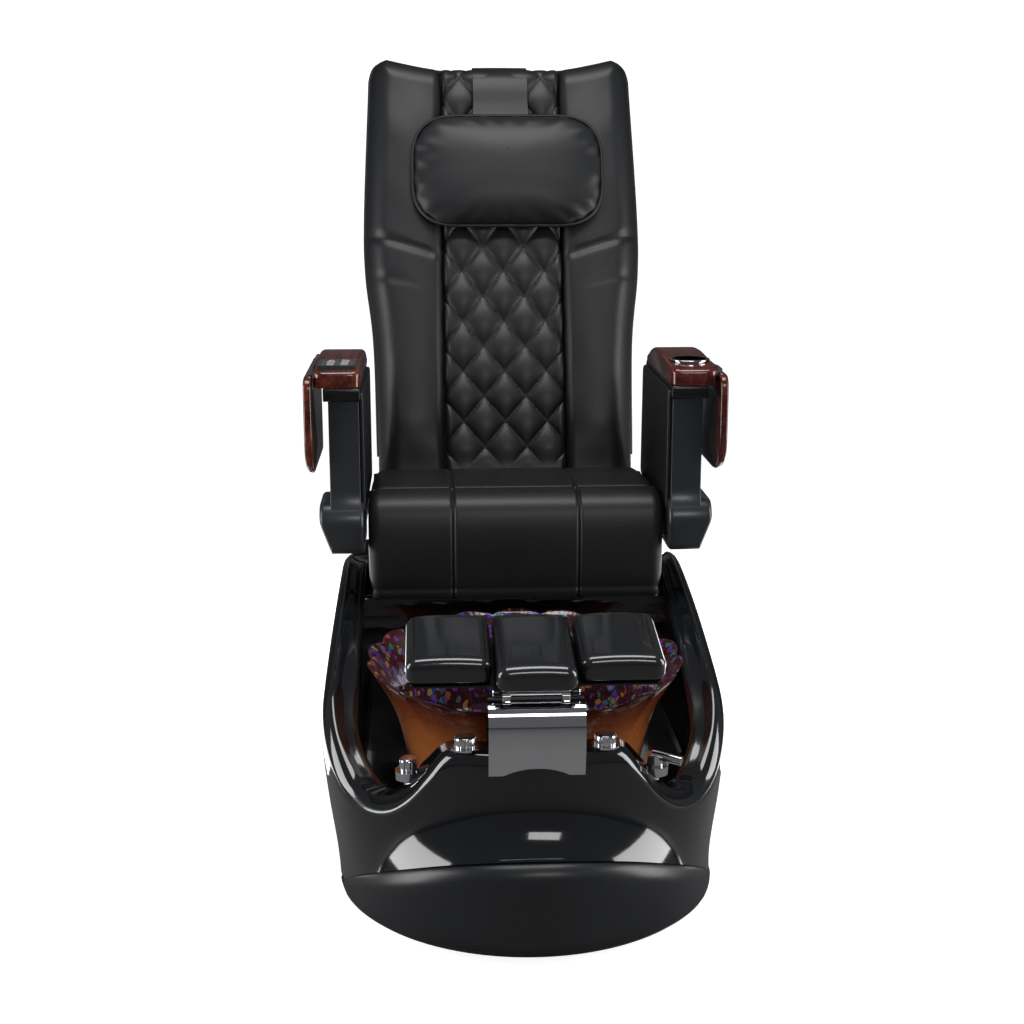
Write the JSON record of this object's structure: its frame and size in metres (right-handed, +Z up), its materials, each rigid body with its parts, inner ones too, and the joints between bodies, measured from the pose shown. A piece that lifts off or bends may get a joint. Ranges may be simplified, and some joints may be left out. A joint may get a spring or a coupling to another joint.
{
  "type": "pedicure spa chair",
  "caption": "Reclining upholstered salon chair on a moulded base with a round foot bowl, footrest, padded headrest and armrests with folding side trays.",
  "frame": {"origin": "on the floor, under the middle of the object's box", "axes": "+X to the right of someone facing the chair, +Y from the foot bowl towards the backrest, +Z up"},
  "size_m": [0.775, 1.44, 1.42],
  "materials": {
    "black_upholstery": "satin grained PU",
    "gloss_black_moulding": "high gloss",
    "satin_black_moulding": "satin",
    "bowl_amber": "gloss, marbled",
    "mahogany": "lacquered",
    "arm_plastic": "fine texture",
    "chrome": "polished",
    "frame_steel": "powder coat",
    "bright_steel": "brushed",
    "panel_glass": "glossy",
    "black_rubber": "matt",
    "pvc": "matt",
    "equipment_case": "matt",
    "footrest_vinyl": "gloss"
  },
  "bodies": {
    "base": {"tub_shell": "gloss_black_moulding", "front_skirt": "satin_black_moulding", "rear_access_panel": "satin_black_moulding", "base_frame": "frame_steel", "levelling_feet": "black_rubber", "foot_bowl": "bowl_amber", "bowl_gasket": "black_rubber", "drain_body": "chrome", "drain_outlet_pipe": "pvc", "jet_nozzles": "chrome", "jet_hoses": "black_rubber", "jet_pump": "equipment_case", "water_inlets": "bright_steel", "power_supply_box": "equipment_case", "power_inlet": "equipment_case", "slide_rails": "bright_steel", "slide_actuator_body": "bright_steel", "footrest_bracket": "chrome", "bracket_bolts": "bright_steel", "deck_escutcheons": "chrome"},
    "seat": {"slide_carriages": "bright_steel", "slide_actuator_rod": "bright_steel", "seat_frame": "frame_steel", "seat_cushion": "black_upholstery", "seat_front_roll": "black_upholstery", "recline_hinge_plates": "frame_steel", "arm_pivot_pins": "chrome"},
    "backrest": {"back_shell": "satin_black_moulding", "back_frame": "frame_steel", "back_centre_pad": "black_upholstery", "back_wing_right": "black_upholstery", "back_wing_left": "black_upholstery", "head_pillow": "black_upholstery", "pillow_strap": "black_upholstery", "massage_rails": "bright_steel"},
    "lead_screw": {"massage_lead_screw": "bright_steel"},
    "massage_carriage": {"massage_carriage": "equipment_case"},
    "massage_rollers": {"massage_rollers": "pvc"},
    "recline_actuator": {"recline_actuator_body": "bright_steel"},
    "recline_rod": {"recline_actuator_rod": "bright_steel"},
    "arm_right": {"arm_shell_right": "arm_plastic", "arm_top_right": "mahogany", "cup_holder": "chrome", "tray_hinge_right": "chrome"},
    "arm_left": {"arm_shell_left": "arm_plastic", "arm_top_left": "mahogany", "control_panel_bezel": "chrome", "control_panel_glass": "panel_glass", "tray_hinge_left": "chrome"},
    "tray_right": {"tray_right": "mahogany"},
    "tray_left": {"tray_left": "mahogany"},
    "footrest": {"footrest_plate": "frame_steel", "footrest_pad_centre": "footrest_vinyl", "footrest_pads_side": "footrest_vinyl"},
    "jet_knob": {"jet_knob": "chrome"},
    "drain_knob": {"drain_knob": "chrome"},
    "mixer_handle": {"mixer_handle": "chrome"},
    "hand_sprayer": {"hand_sprayer": "chrome"},
    "drain_stopper": {"drain_stopper": "chrome"},
    "pump_impeller": {"pump_impeller": "pvc"}
  },
  "joints": [
    {"name": "seat_slide", "type": "slide", "parent": "base", "child": "seat", "axis": [0, 1, 0], "range_m": [0, 0.065]},
    {"name": "back_recline", "type": "hinge", "parent": "seat", "child": "backrest", "pos_m": [0, 0.36044, 0.55214], "axis": [-1, 0, 0], "range_deg": [0, 30]},
    {"name": "recline_actuator_swing", "type": "hinge", "parent": "seat", "child": "recline_actuator", "pos_m": [0, 0.345, 0.402], "axis": [1, 0, 0], "range_deg": [-3.13, 0]},
    {"name": "recline_rod_extend", "type": "slide", "parent": "recline_actuator", "child": "recline_rod", "axis": [0, 0.5329, 0.8461], "range_m": [-0.03753, 0]},
    {"name": "massage_travel", "type": "slide", "parent": "backrest", "child": "massage_carriage", "axis": [0, 0.3364, 0.9417], "range_m": [0, 0.36]},
    {"name": "massage_screw_spin", "type": "hinge", "parent": "backrest", "child": "lead_screw", "pos_m": [0, 0.52784, 0.95533], "axis": [0, 0.3364, 0.9417], "range_deg": [0, 3245]},
    {"name": "massage_roller_spin", "type": "hinge", "parent": "massage_carriage", "child": "massage_rollers", "pos_m": [0, 0.43014, 0.73537], "axis": [1, 0, 0], "continuous": true},
    {"name": "arm_right_lift", "type": "hinge", "parent": "seat", "child": "arm_right", "pos_m": [0.316, 0.27, 0.532], "axis": [-1, 0, 0], "range_deg": [0, 33]},
    {"name": "arm_left_lift", "type": "hinge", "parent": "seat", "child": "arm_left", "pos_m": [-0.316, 0.27, 0.532], "axis": [-1, 0, 0], "range_deg": [0, 33]},
    {"name": "tray_right_fold", "type": "hinge", "parent": "arm_right", "child": "tray_right", "pos_m": [0.3755, 0.045, 0.842], "axis": [0, -1, 0], "range_deg": [0, 90]},
    {"name": "tray_left_fold", "type": "hinge", "parent": "arm_left", "child": "tray_left", "pos_m": [-0.3755, 0.045, 0.842], "axis": [0, 1, 0], "range_deg": [0, 90]},
    {"name": "footrest_tilt", "type": "hinge", "parent": "base", "child": "footrest", "pos_m": [0, -0.632, 0.424], "axis": [1, 0, 0], "range_deg": [0, 40]},
    {"name": "jet_knob_turn", "type": "hinge", "parent": "base", "child": "jet_knob", "pos_m": [-0.11, -0.618, 0.34], "axis": [0, 0, 1], "range_deg": [0, 270]},
    {"name": "drain_knob_turn", "type": "hinge", "parent": "base", "child": "drain_knob", "pos_m": [0.11, -0.618, 0.34], "axis": [0, 0, 1], "range_deg": [0, 90]},
    {"name": "drain_stopper_lift", "type": "slide", "parent": "base", "child": "drain_stopper", "axis": [0, 0, 1], "range_m": [0, 0.0101]},
    {"name": "mixer_turn", "type": "hinge", "parent": "base", "child": "mixer_handle", "pos_m": [-0.2, -0.54, 0.27], "axis": [0, 0, 1], "range_deg": [-45, 45]},
    {"name": "sprayer_pull", "type": "slide", "parent": "base", "child": "hand_sprayer", "axis": [0, 0, 1], "range_m": [0, 0.04]},
    {"name": "impeller_spin", "type": "hinge", "parent": "base", "child": "pump_impeller", "pos_m": [0, 0.12, 0.19], "axis": [0, 1, 0], "continuous": true}
  ],
  "couplings": [
    {"joint": "recline_actuator_swing", "follows": "back_recline", "ratio": -0.10238},
    {"joint": "recline_rod_extend", "follows": "back_recline", "m_per_rad": -0.07027},
    {"joint": "massage_screw_spin", "follows": "massage_travel", "rad_per_m": 157.08},
    {"joint": "drain_stopper_lift", "follows": "drain_knob_turn", "m_per_rad": 0.0063662}
  ]
}
